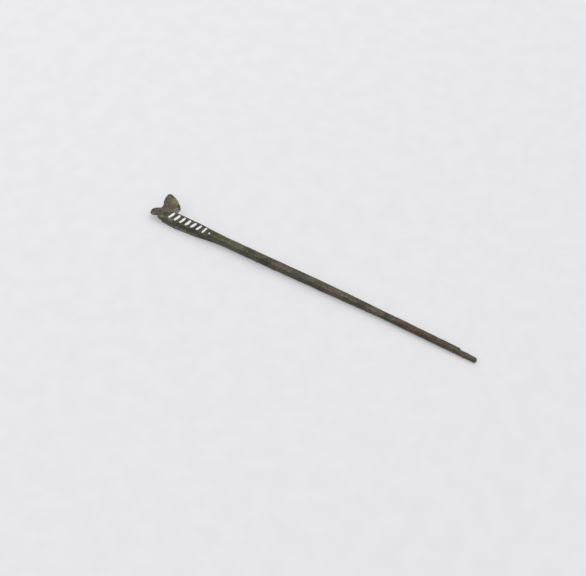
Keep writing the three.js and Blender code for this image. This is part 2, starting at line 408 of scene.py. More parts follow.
@dataclass(frozen=True)
class PatinatedBronze(Finish):
    """Tin bronze, forged or cast, with the brown-olive patina of long burial.

    The oxide skin hides the metal's shine: satin where handled and matt where mineral crust sits.
    It is clouded at the size of a few millimetres, streaked along the way it was drawn out, and
    speckled at a few tenths. Its upper faces get painted light and its flanks painted shade.
    """

    ground: str  # the skin's main colour
    shade: str  # its dark clouds, and the bottoms of its pits
    bloom: str  # pale mineral bloom
    tints: tuple[Tint, ...] = ()
    mottle: float = 2.4  # mm across a light or dark cloud
    mottle_limits: Range = (0.36, 0.66)
    mottle_stretch: float = 1.6
    rag: float = 0.8  # mm across a tear in a tint's edge
    streak: float = 0.38  # mm across a streak
    streak_length: float = 9.0  # how many times longer a streak is than it is wide
    streak_depth: float = 0.38
    speck: float = 0.6  # mm across a speck of pale bloom
    speck_limits: Range = (0.54, 0.72)
    speck_cover: float = 0.5
    grain: float = 0.26  # mm; real corrosion grain is finer, but this is the least that shows
    grain_limits: Range = (0.28, 0.72)
    grain_depth: float = 0.35
    pit: float = 1.1  # mm between pits
    pit_limits: Range = (0.08, 0.3)  # from a pit's middle to its rim, as shares of the spacing
    pit_dark: float = 0.55
    flank_painted_shade: float = 0.76  # painted shade on the flanks, and painted light on the upper faces
    upper_painted_light: float = 1.22
    painted_light_limits: Range = (0.15, 0.85)  # how far up a surface faces where it is flank or upper face
    metallic: float = 0.25
    roughness: Range = (0.42, 0.68)  # of the skin, and of the bloom
    relief: float = 0.03  # mm from the bottom of a streak or grain to its top

    def surface(self, tree: bpy.types.NodeTree, place: bpy.types.NodeSocket) -> dict[str, Link]:
        """Clouds, tints, bloom, pits, streaks and grain, in the order that the patina grew; then
        painted light on upward faces and painted shade on the flanks.

        Args:
            tree: the material's tree.
            place: the object coordinates, in metres.

        Returns:
            What goes into each named input of the shader.
        """
        clouds = self.cloud(tree, place, self.mottle, self.mottle_limits, self.mottle_stretch)
        colour = self.over(tree, linear(self.ground), linear(self.shade), clouds)
        ragged = self.cloud(tree, place, self.rag, MIDDLING)
        for tint in self.tints:
            colour = tint.lay(tree, place, colour, ragged)
        specks = self.cloud(tree, place, self.speck, self.speck_limits)
        bloom = add_node(tree, MATH, [specks, self.speck_cover], operation="MULTIPLY")
        colour = self.over(tree, colour, linear(self.bloom), bloom)
        cells = add_node(tree, CELLS, {"Vector": place, "Scale": 1 / (self.pit * MM)})
        pits = add_node(tree, MAP_RANGE,
                        [cells.outputs["Distance"], *self.pit_limits, self.pit_dark, 0.0],
                        interpolation_type=SMOOTH)
        colour = self.over(tree, colour, linear(self.shade), pits)
        streaks = self.cloud(tree, place, self.streak, MIDDLING, self.streak_length)
        grain = self.cloud(tree, place, self.grain, self.grain_limits)
        fine, drawn = (
            add_node(tree, MAP_RANGE, [pattern, 0.0, 1.0, 1 - depth, 1 + depth])
            for pattern, depth in ((grain, self.grain_depth), (streaks, self.streak_depth))
        )
        facing = add_node(tree, "ShaderNodeTexCoord").outputs["Normal"]
        upward = add_node(tree, SEPARATE, [facing]).outputs["Z"]
        # painted light on faces that look up and painted shade on the flanks, by which way each surface
        # faces
        painted_light_shade = add_node(tree, MAP_RANGE,
                           [upward, *self.painted_light_limits, self.flank_painted_shade, self.upper_painted_light],
                           interpolation_type=SMOOTH)
        rubbed = add_node(tree, MATH, [fine, drawn], operation="MULTIPLY")
        # tone: the grain and streaks, times the painted light and shade
        tone = add_node(tree, MATH, [rubbed, painted_light_shade], operation="MULTIPLY")
        height = add_node(tree, MATH, [grain, streaks], operation="ADD")
        return {
            "Base Color": add_node(tree, VECTOR_MATH, {0: colour, "Scale": tone}, operation="SCALE"),
            "Metallic": self.metallic,
            "Roughness": add_node(tree, MAP_RANGE, [specks, 0.0, 1.0, *self.roughness]),
            "Normal": add_node(tree, BUMP,
                               {"Strength": 0.6, "Distance": self.relief * MM, "Height": height}),
        }


@dataclass(frozen=True)
class SoftSolder(Finish):
    """Lead-tin solder, run in hot and long since dulled: lumpy, grey, with paler scuffs."""

    dull: str = "#4a4940"
    scuffed: str = "#7e7c70"
    lump: float = 0.5  # mm across a lump
    lump_limits: Range = (0.4, 0.66)
    roughness: Range = (0.6, 0.42)  # dull, and scuffed

    def surface(self, tree: bpy.types.NodeTree, place: bpy.types.NodeSocket) -> dict[str, Link]:
        """Scuffs on lumps.

        Args:
            tree: the material's tree.
            place: the object coordinates, in metres.

        Returns:
            What goes into each named input of the shader.
        """
        lumps = self.cloud(tree, place, self.lump, self.lump_limits)
        return {
            "Base Color": self.over(tree, linear(self.dull), linear(self.scuffed), lumps),
            "Metallic": 0.7,
            "Roughness": add_node(tree, MAP_RANGE, [lumps, 0.0, 1.0, *self.roughness]),
            "Normal": add_node(tree, BUMP,
                               {"Strength": 0.4, "Distance": 0.03 * MM, "Height": lumps}),
        }


@dataclass(frozen=True)
class IsolatingVarnish(Finish):
    """Clear acrylic varnish, brushed thin over patina: it wets the bronze dark and shines a little."""

    wet: str = "#292722"
    thin: str = "#4b4636"
    patch: float = 1.3  # mm across a thicker or thinner place
    patch_limits: Range = (0.4, 0.68)
    brush_mark: float = 0.3  # mm between brush marks
    brush_length: float = 6.0  # how many times longer a mark is than it is wide
    brush_tone: Range = (0.7, 1.3)
    roughness: Range = (0.34, 0.5)  # thick, and thin

    def surface(self, tree: bpy.types.NodeTree, place: bpy.types.NodeSocket) -> dict[str, Link]:
        """Thick and thin places with brush marks along the pin.

        Args:
            tree: the material's tree.
            place: the object coordinates, in metres.

        Returns:
            What goes into each named input of the shader.
        """
        depth = self.cloud(tree, place, self.patch, self.patch_limits)
        marks = self.cloud(tree, place, self.brush_mark, MIDDLING, self.brush_length)
        tone = add_node(tree, MAP_RANGE, [marks, 0.0, 1.0, *self.brush_tone])
        colour = self.over(tree, linear(self.wet), linear(self.thin), depth)
        return {
            "Base Color": add_node(tree, VECTOR_MATH, {0: colour, "Scale": tone}, operation="SCALE"),
            "Roughness": add_node(tree, MAP_RANGE, [depth, 0.0, 1.0, *self.roughness]),
            "Normal": add_node(tree, BUMP,
                               {"Strength": 0.4, "Distance": 0.02 * MM, "Height": marks}),
            "Coat Weight": 0.25,
            "Coat Roughness": 0.3,
        }


@dataclass(frozen=True)
class WhiteInk(Finish):
    """Titanium-white drawing ink, put on with a pen: matt, chalky, thinner where the pen ran dry."""

    full: str = "#ffffff"
    dry: str = "#e6e4dd"
    patch: float = 0.45  # mm across a fuller or drier place
    patch_limits: Range = (0.3, 0.52)
    roughness: Range = (0.85, 0.7)  # dry, and full

    def surface(self, tree: bpy.types.NodeTree, place: bpy.types.NodeSocket) -> dict[str, Link]:
        """Full and dry places.

        Args:
            tree: the material's tree.
            place: the object coordinates, in metres.

        Returns:
            What goes into each named input of the shader.
        """
        patches = self.cloud(tree, place, self.patch, self.patch_limits)
        return {
            "Base Color": self.over(tree, linear(self.dry), linear(self.full), patches),
            "Roughness": add_node(tree, MAP_RANGE, [patches, 0.0, 1.0, *self.roughness]),
            "Normal": add_node(tree, BUMP,
                               {"Strength": 0.3, "Distance": 0.01 * MM, "Height": patches}),
        }


@dataclass(frozen=True)
class OpalSheet(Finish):
    """Opal acrylic sheet of a copy stand, faintly lit from below: even, near white, no hard shadow."""

    tone: str = "#d6d6d8"
    cast: str = "#d2d2d4"
    glow: str = "#fcfcff"
    glow_strength: Range = (0.285, 0.235)  # at the head's side, and at the point's
    glow_reach: float = 240.0  # mm over which the glow falls off along the pin
    cloudiness: float = 6.0  # mm; the real sheet's is finer, and would only shimmer

    def surface(self, tree: bpy.types.NodeTree, place: bpy.types.NodeSocket) -> dict[str, Link]:
        """A faint cloudiness over an even glow.

        Args:
            tree: the material's tree.
            place: the object coordinates, in metres.

        Returns:
            What goes into each named input of the shader.
        """
        clouds = self.cloud(tree, place, self.cloudiness, MIDDLING)
        along = add_node(tree, SEPARATE, [place]).outputs["X"]
        half = self.glow_reach / 2 * MM
        glow = add_node(tree, MAP_RANGE, [along, -half, half, *self.glow_strength])
        return {
            "Base Color": self.over(tree, linear(self.cast), linear(self.tone), clouds),
            "Roughness": 0.9,
            "Specular IOR Level": 0.2,
            "Emission Color": linear(self.glow),
            "Emission Strength": glow,
        }


def band(colour: str, middle: float, half_length: float, strength: float = 1.0) -> Tint:
    """A tint right round the stem.

    Args:
        colour: its sRGB hex colour.
        middle: how far its middle is from the neck's end, in millimetres.
        half_length: how far it reaches each way along the stem.
        strength: its cover where it is full.

    Returns:
        The tint.
    """
    all_round = 1000.0
    return Tint(colour, (middle - NECK_END, 0.0, 1.0), (half_length, all_round, all_round), strength)


STEM_BRONZE = PatinatedBronze(
    name="tin_bronze_forged_brown_patina",
    ground="#524e3b", shade="#302e25", bloom="#7d7962",
    tints=(
        band("#54543a", 24.0, 7.0, 0.7),
        Tint("#60493d", (35.8, 0.4, 2.6), (3.2, 1.2, 0.8), 0.8),
        band("#48453c", 47.5, 6.0, 0.85),
        band("#5e523d", 59.5, 4.5, 0.8),
        band("#4a4634", 66.0, 3.0, 0.7),
        band("#5d553d", 73.0, 3.0, 0.7),
        band("#4d3b2d", 86.0, 9.0, 0.9),
        band("#524434", 96.5, 2.5, 0.7),
        band("#58463a", 103.5, 2.5, 0.8),
        Tint("#604637", (11.0, 0.2, 2.6), (3.0, 1.6, 1.2), 0.7),
        Tint("#50512f", (15.5, 0.6, 2.6), (2.6, 1.2, 1.0), 0.7),
        # painted light: the neck's -Y flank is lighter low down, as if lit by light off the floor
        Tint("#8b8667", (2.5, -1.8, 0.6), (9.0, 0.9, 1.0), 0.85),
        # painted shade on the neck's -Y flank, just under its top edge
        Tint("#26241e", (3.0, -1.75, 2.3), (10.0, 0.4, 0.6), 0.6),
    ),
)
RIM_PAINTED_SHADE = "#38342a"  # painted shade along the petals' rims, where their edges turn away from the light
HEAD_BRONZE = PatinatedBronze(
    name="tin_bronze_cast_crusted_patina",
    ground="#676453", shade="#38362d", bloom="#9a967f", streak_depth=0.1, roughness=(0.5, 0.75),
    speck=0.5, grain_depth=0.4, pit=0.8, pit_dark=0.65, upper_painted_light=1.1,
    tints=(
        Tint("#675040", (-6.5, -0.3, 2.4), (2.0, 1.0, 1.2), 0.8),
        Tint("#5a5e49", (-4.6, 0.4, 2.6), (1.8, 1.5, 1.0), 0.8),
        Tint("#746149", (-3.2, 3.0, 3.2), (1.5, 1.2, 1.0), 0.7),
        Tint("#6d5747", (-4.8, 2.5, 3.0), (1.0, 0.9, 0.9), 0.6),
        Tint("#4c493b", (-2.9, 1.9, 2.9), (1.1, 0.6, 0.6), 0.7),
        Tint("#8c857b", (-1.5, 2.6, 3.0), (1.0, 1.1, 1.0), 0.8),
        # painted highlight where the side petal's upper face tilts towards the light
        Tint("#8f8a61", (-3.7, 4.5, 3.9), (1.5, 1.0, 1.2), 0.9),
        Tint("#756b59", (-5.6, 4.9, 4.2), (1.2, 1.0, 1.2), 0.8),
        Tint("#544b3e", (-6.5, 3.4, 3.4), (0.6, 1.5, 1.2), 0.8),
        Tint("#8b8472", (-6.9, -1.5, 2.3), (1.2, 0.4, 0.6), 0.8),
        Tint("#a09c86", (-4.0, -1.7, 2.6), (0.5, 0.4, 0.4), 1.0),
        # painted shade on the petals' rims
        Tint(RIM_PAINTED_SHADE, (-6.6, 5.5, 4.6), (0.9, 0.35, 0.9), 0.85),
        Tint(RIM_PAINTED_SHADE, (-7.0, 3.6, 3.5), (0.4, 1.4, 0.9), 0.8),
        Tint(RIM_PAINTED_SHADE, (-3.9, 5.6, 4.4), (1.1, 0.4, 0.9), 0.8),
        Tint(RIM_PAINTED_SHADE, (-1.3, 3.9, 3.5), (0.5, 1.2, 0.9), 0.85),
        Tint(RIM_PAINTED_SHADE, (-8.5, -0.2, 2.0), (0.45, 1.3, 0.9), 0.85),
        Tint(RIM_PAINTED_SHADE, (-6.4, -1.7, 2.0), (1.4, 0.35, 0.7), 0.7),
    ),
)
CARBONATE_CRUST = PatinatedBronze(
    name="copper_carbonate_crust",
    ground="#6f6d58", shade="#454337", bloom="#93937c", metallic=0.0, roughness=(0.75, 0.9),
)


# ----------------------------------------------------------------------------------- sub-assemblies


@dataclass
class Lap:
    """The lap joint's places, worked out from the CAD's solder film and stem. Metres."""

    gap: float = 0.02 * MM
    seam: float = 0.03 * MM  # the open line that shows where the plate meets the stem
    clear: float = 3 * MM  # how far a cutting box runs past the metal

    def __post_init__(self) -> None:
        """Reads the frame."""
        self.film_low, self.film_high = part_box("solder_joint")
        self.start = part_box("stem")[0].x
        self.side = self.film_high.y + self.clear

    def box(self, bottom: float, top: float, end: float) -> tuple[Vector, Vector]:
        """A cutting box across the neck, from before its end.

        Args:
            bottom: the box's lowest height.
            top: its highest.
            end: how far along the pin it reaches.

        Returns:
            Its lowest and highest corners.
        """
        return Vector((self.start - self.clear, -self.side, bottom)), Vector((end, self.side, top))

    def rebate(self) -> tuple[Vector, Vector]:
        """What is cut out of the neck."""
        top = self.film_high.z + self.clear
        return self.box(self.film_low.z - self.gap, top, self.film_high.x + self.gap)

    def root(self) -> tuple[Vector, Vector]:
        """What the plate's root fills."""
        top = self.film_high.z + self.clear
        return self.box(self.film_high.z + self.gap, top, self.film_high.x + self.gap - self.seam)

    def film(self) -> tuple[Vector, Vector]:
        """What the solder fills."""
        return self.box(self.film_low.z, self.film_high.z, self.film_high.x)


@dataclass
class Weathering:
    """Corrosion relief: long hammered waves, dents, pits and grain, the same field on every piece."""

    wave: float = 9.0
    wave_height: float = 0.05
    dent: float = 1.9
    dent_height: float = 0.045
    pit: float = 0.9
    pit_depth: float = 0.05
    grain: float = 0.3
    grain_height: float = 0.018
    swing_limits: Range = (0.25, 0.75)  # the noise values that become a full hollow and a full rise
    pit_limits: Range = (0.08, 0.34)  # from a pit's flat bottom to its rim, as shares of its spacing

    def apply(self, piece: bpy.types.Object, finish: bpy.types.Material, depth: float = 1.0) -> None:
        """Moves a piece's surface along its normals, but never below the table.

        Args:
            piece: a closed, fine mesh.
            finish: its material.
            depth: a factor on every height.
        """
        lengths = {
            "Wave": self.wave, "Wave Height": self.wave_height, "Dent": self.dent,
            "Dent Height": self.dent_height, "Pit": self.pit, "Pit Depth": self.pit_depth,
            "Grain": self.grain, "Grain Height": self.grain_height,
        }
        sizes = {key: value * MM for key, value in lengths.items()}
        rule = ShapeRule("weathering", sizes | {"Depth": depth})
        place = rule.add("GeometryNodeInputPosition")
        height: Link = 0.0
        for name in ("Wave", "Dent", "Grain"):
            scale = rule.add(MATH, [1.0, rule[name]], operation="DIVIDE")
            noise = rule.add(NOISE, {"Vector": place, "Scale": scale, "Detail": 2.0})
            swing = rule.add(MAP_RANGE, [noise, *self.swing_limits, -1.0, 1.0], clamp=False)
            height = rule.add(MATH, [swing, rule[f"{name} Height"], height], operation="MULTIPLY_ADD")
        scale = rule.add(MATH, [1.0, rule["Pit"]], operation="DIVIDE")
        cells = rule.add(CELLS, {"Vector": place, "Scale": scale})
        hollow = rule.add(MAP_RANGE, [cells.outputs["Distance"], *self.pit_limits, -1.0, 0.0],
                          interpolation_type=SMOOTH)
        height = rule.add(MATH, [hollow, rule["Pit Depth"], height], operation="MULTIPLY_ADD")
        height = rule.add(MATH, [height, rule["Depth"]], operation="MULTIPLY")
        normal = rule.add("GeometryNodeInputNormal")
        shift = rule.add(VECTOR_MATH, {0: normal, "Scale": height}, operation="SCALE")
        moved = rule.add(SET_POSITION, {"Geometry": rule["Geometry"], "Offset": shift})
        axes = rule.add(SEPARATE, [place])
        above = rule.add(MATH, [axes.outputs["Z"], 0.0], operation="MAXIMUM")
        kept = rule.add(COMBINE, [axes.outputs["X"], axes.outputs["Y"], above])
        rested = rule.add(SET_POSITION, {"Geometry": moved, "Position": kept})
        rule.apply(piece, rested, finish)


@dataclass
class Stem:
    """The forged bar: a thick neck, a square-to-round length and a blunt point."""

    neck_width: float = 3.5
    neck_height: float = 3.0
    neck_length: float = 9.0  # a whole section so far, before the taper
    belly: float = 0.26  # how much fuller the neck's -Y side is at the middle of its length
    taper_length: float = 12.0
    level_length: float = 16.7  # the top face is level so far, then falls
    bar_at_neck: float = 2.25
    bar_at_point: float = 2.08
    square_length: float = 42.0
    rounding_length: float = 34.0
    bow: float = 0.36
    bow_skew: float = 1.3  # above 1, the bend sits nearer to the point
    offset: float = 0.05
    point_length: float = 5.8
    shoulder: float = 0.26
    shoulder_length: float = 0.5
    nose: float = 1.5
    nose_length: float = 0.8
    end_round: float = 0.35
    end_inset: float = 0.07  # share of the section that the rounded neck end loses
    end_power: float = 2.5  # above 1, the rounding is tighter
    squareness: float = 12.0  # exponent of the square section's rounded outline; 2 is a circle
    roundness: float = 2.2  # exponent where the bar is roundest: it was hammered, not turned
    rings: int = 840
    around: int = 72
    crowding: float = 1.25  # above 1, the rings stand closer towards the point

    def __post_init__(self) -> None:
        """Reads the bar's ends from the frame."""
        low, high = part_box("stem")
        self.start = low.x
        self.length = (high.x - low.x) / MM

    def lengths(self) -> dict[str, float]:
        """The rule's named lengths.

        Returns:
            Each input's name and its length in metres.
        """
        point_start = self.length - self.point_length
        named = {
            "Length": self.length, "Neck Width": self.neck_width, "Neck Height": self.neck_height,
            "Neck End": self.neck_length, "Taper End": self.neck_length + self.taper_length,
            "Belly": self.belly,
            "Level End": self.level_length, "Bar At Neck": self.bar_at_neck,
            "Bar At Point": self.bar_at_point, "Square End": self.square_length,
            "Round From": self.square_length + self.rounding_length, "Bow": self.bow,
            "Offset": self.offset, "Point Start": point_start, "Shoulder": self.shoulder,
            "Shoulder End": point_start + self.shoulder_length, "Nose": self.nose,
            "Nose Start": self.length - self.nose_length, "End Round": self.end_round,
        }
        return {key: value * MM for key, value in named.items()}

    def blank(self, finish: bpy.types.Material) -> bpy.types.Object:
        """The whole bar before the rebate is cut, as one closed skin.

        A cylinder's rings become the bar's sections: its own X and Y turn into a rounded square
        or circle across the bar, and its height into the way along it.

        Args:
            finish: the material of every face.

        Returns:
            A piece with the bar's plain mesh.
        """
        rule = ShapeRule("stem_rule", self.lengths() | {
            "Squareness": self.squareness, "Start": self.start, "End Inset": self.end_inset,
            "Bow Skew": self.bow_skew, "Roundness": self.roundness, "End Power": self.end_power,
        })
        skin = rule.add("GeometryNodeMeshCylinder", {
            "Vertices": self.around, "Side Segments": self.rings, "Fill Segments": 4,
            "Radius": 1.0, "Depth": 1.0,
        }, fill_type="TRIANGLE_FAN")
        unit = rule.add(SEPARATE, [rule.add("GeometryNodeInputPosition")])
        left = rule.add(MATH, [0.5, unit.outputs["Z"]], operation="SUBTRACT")
        crowded = rule.add(MATH, [left, self.crowding], operation="POWER")
        x = rule.add(MAP_RANGE, [crowded, 1.0, 0.0, 0.0, rule["Length"]])

        to_bar = rule.add(MAP_RANGE, [x, rule["Neck End"], rule["Taper End"]],
                          interpolation_type=SMOOTH)
        to_round = rule.add(MAP_RANGE, [x, rule["Square End"], rule["Round From"]],
                            interpolation_type=SMOOTH)
        plain = rule.add(MAP_RANGE, [x, 0.0, rule["Length"], rule["Bar At Neck"], rule["Bar At Point"]])
        step = rule.add(MAP_RANGE,
                        [x, rule["Point Start"], rule["Shoulder End"], 0.0, rule["Shoulder"]],
                        interpolation_type=SMOOTH)
        stepped = rule.add(MATH, [plain, step], operation="SUBTRACT")
        on_point = rule.add(MAP_RANGE, [x, rule["Point Start"], rule["Length"]])
        bar = rule.add(MAP_RANGE, [on_point, 0.0, 1.0, stepped, rule["Nose"]])
        on_neck = rule.add(MAP_RANGE, [x, 0.0, rule["Neck End"], 0.0, math.pi])
        fullness = rule.add(MATH, [on_neck], operation="SINE")
        belly = rule.add(MATH, [fullness, rule["Belly"]], operation="MULTIPLY")
        neck = rule.add(MATH, [rule["Neck Width"], belly], operation="ADD")
        width = rule.add(MAP_RANGE, [to_bar, 0.0, 1.0, neck, bar])
        height = rule.add(MAP_RANGE, [to_bar, 0.0, 1.0, rule["Neck Height"], bar])

        on_nose = rule.add(MAP_RANGE, [x, rule["Nose Start"], rule["Length"]])
        bent = rule.add(MATH, [on_nose, on_nose], operation="MULTIPLY")
        nose = rule.add(MATH, [rule.add(MATH, [1.0, bent], operation="SUBTRACT")], operation="SQRT")

        power = rule.add(MAP_RANGE, [to_round, 0.0, 1.0, rule["Squareness"], rule["Roundness"]])
        total: Link = 0.0
        for axis in ("X", "Y"):
            size = rule.add(MATH, [unit.outputs[axis]], operation="ABSOLUTE")
            raised = rule.add(MATH, [size, power], operation="POWER")
            total = rule.add(MATH, [raised, total], operation="ADD")
        root = rule.add(MATH, [total, rule.add(MATH, [1.0, power], operation="DIVIDE")],
                        operation="POWER")
        flat = rule.add(COMBINE, [unit.outputs["X"], unit.outputs["Y"], 0.0])
        radius = rule.add(VECTOR_MATH, [flat], operation="LENGTH").outputs["Value"]
        swell = rule.add(MATH, [radius, root], operation="DIVIDE")
        to_end = rule.add(MAP_RANGE, [x, 0.0, rule["End Round"], 1.0, 0.0])
        drawn_in = rule.add(MATH, [to_end, rule["End Power"]], operation="POWER")
        lost = rule.add(MATH, [drawn_in, rule["End Inset"]], operation="MULTIPLY")
        kept = rule.add(MATH, [1.0, lost], operation="SUBTRACT")
        ended = rule.add(MATH, [nose, kept], operation="MULTIPLY")
        across = rule.add(MATH, [swell, ended], operation="MULTIPLY")

        top = rule.add(MAP_RANGE,
                       [x, rule["Level End"], rule["Point Start"], rule["Neck Height"], plain])
        half = rule.add(MATH, [height, 0.5], operation="MULTIPLY")
        above = rule.add(MATH, [top, half], operation="SUBTRACT")
        before = rule.add(MATH, [x, rule["Point Start"]], operation="LESS_THAN")
        middle = rule.add(MAP_RANGE, [before, 0.0, 1.0, half, above])
        behind = rule.add(MAP_RANGE, [x, rule["Neck End"], rule["Length"]])
        skewed = rule.add(MATH, [behind, rule["Bow Skew"]], operation="POWER")
        turn = rule.add(MATH, [skewed, math.pi], operation="MULTIPLY")
        eased = rule.add(MATH, [rule.add(MATH, [turn], operation="SINE"), 2.0], operation="POWER")
        bow = rule.add(MATH, [eased, rule["Bow"]], operation="MULTIPLY")
        bowed = rule.add(MATH, [to_bar, rule["Offset"], bow], operation="MULTIPLY_ADD")
        lopsided = rule.add(MATH, [step, belly], operation="ADD")
        drift = rule.add(MATH, [lopsided, -0.5, bowed], operation="MULTIPLY_ADD")

        places = []
        for axis, extent, centre in (("Y", width, drift), ("X", height, middle)):
            reach = rule.add(MATH, [extent, across], operation="MULTIPLY")
            way = rule.add(MATH, [unit.outputs[axis], 0.5], operation="MULTIPLY")
            places.append(rule.add(MATH, [reach, way, centre], operation="MULTIPLY_ADD"))
        along = rule.add(MATH, [x, rule["Start"]], operation="ADD")
        target = rule.add(COMBINE, [along, *places])
        shaped = rule.add(SET_POSITION, {"Geometry": skin, "Position": target})
        piece = new_piece("stem_bar", bpy.data.meshes.new("stem_bar"))
        rule.apply(piece, shaped, finish)
        turn_outward(piece.data)
        return piece

    def build(self, lap: Lap, weather: Weathering, finish: bpy.types.Material) -> bpy.types.Object:
        """The stem with its rebate, weathered.

        Args:
            lap: the lap joint, whose rebate is cut out.
            weather: the corrosion relief.
            finish: the stem's material.

        Returns:
            The finished piece.
        """
        piece = self.blank(finish)
        cut(piece, *lap.rebate(), Cut.REMOVE)
        weather.apply(piece, finish)
        smooth_faces(piece)
        return piece


class Wander:
    """A smooth random line: a few sine waves with seeded rates and phases."""

    def __init__(self, seed: int, size: float, slowest: float = 5.0, fastest: float = 30.0) -> None:
        """Draws the waves.

        Args:
            seed: the seed of the draw.
            size: how far the line strays, at most.
            slowest: radians of the slowest wave over the line's length.
            fastest: radians of the fastest one.
        """
        draw = np.random.default_rng(seed)
        self.rates = np.geomspace(slowest, fastest, 4) * draw.uniform(0.85, 1.15, 4)
        self.phases = draw.uniform(0, 2 * math.pi, 4)
        self.size = size

    def at(self, share: float) -> float:
        """How far the line strays at a share of its length."""
        return self.size * float(np.sin(self.rates * share + self.phases).mean())


@dataclass
class Petal:
    """One petal: a leaf along a curved way from the hub's middle."""

    outward: Vector
    sideways: Vector
    reach: float  # from the hub's middle to the tip, outwards
    drift: float  # how far the tip strays sideways
    rise: float  # and upwards
    turn: float  # the share of the reach at which the way bends
    root_half_width: float
    full_half_width: float
    widest_at: float  # as a share of the way
    bluntness: float  # above 2, the tip is blunter than a circle's
    curl: float  # how far the rims turn up
    furrow: float  # depth of the groove down the middle
    seed: int
    ragged: float = 0.22  # how far corrosion has eaten into the rims
    edge: float = 0.55  # the rims' thickness
    tip: float = 0.05  # the tip's width, as a share of the full width
    thinning: float = 0.7  # the share of its crown that the petal loses towards its tip
    edge_power: float = 0.35  # low, so that the rims are nearly square
    crown_power: float = 1.6  # above 1, so that the crown gathers along the middle
    furrow_width: float = 0.16  # as a share of the half width
    curl_lead: float = 0.12  # how much nearer to the root than the tip the curl is full
    steps: int = 70
    around: int = 96

    def half_width(self, share: float) -> float:
        """Half the petal's width at one place.

        Args:
            share: the place, from 0 at the hub's middle to 1 at the tip.

        Returns:
            Millimetres.
        """
        if share < self.widest_at:
            eased = share / self.widest_at
            eased = eased * eased * (3 - 2 * eased)
            return self.root_half_width + (self.full_half_width - self.root_half_width) * eased
        past = (share - self.widest_at) / (1 - self.widest_at)
        return self.full_half_width * max(self.tip, math.sqrt(1 - past ** self.bluntness))

    def leaf(self, hub: Vector, thickness: float) -> bpy.types.Mesh:
        """The petal's closed skin.

        Args:
            hub: the hub's middle, in millimetres.
            thickness: the plate's thickness there.

        Returns:
            A mesh in metres.
        """
        up = Vector((0, 0, 1))
        across = up.cross(self.outward)
        knee = hub + self.outward * self.turn * self.reach
        end = hub + self.outward * self.reach + self.sideways * self.drift + up * self.rise
        angles = np.linspace(0, 2 * math.pi, self.around, endpoint=False)
        side, face = np.cos(angles), np.sin(angles)
        rims = [Wander(self.seed + i, self.ragged) for i in range(2)]
        rings = []
        for share in np.linspace(0, 1, self.steps):
            wide = self.half_width(share)
            wide += rims[0].at(share) * (1 + side) / 2 + rims[1].at(share) * (1 - side) / 2
            spine = hub * (1 - share) ** 2 + knee * 2 * share * (1 - share) + end * share ** 2
            crown = (thickness - self.edge) * (1 - self.thinning * share)
            lens = self.edge * np.abs(face) ** self.edge_power
            lens += crown * np.abs(face) ** self.crown_power
            bend = self.curl * side ** 2 * math.sin(math.pi * min(1, share + self.curl_lead))
            groove = self.furrow * np.exp(-(side / self.furrow_width) ** 2) * np.clip(face, 0, 1)
            rise = np.sign(face) * lens / 2 + bend - groove * math.sin(math.pi * share)
            ring = np.array(spine)[None] + np.outer(side * wide, across) + np.outer(rise, up)
            rings.append(ring)
        return loft("petal", np.array(rings) * MM)


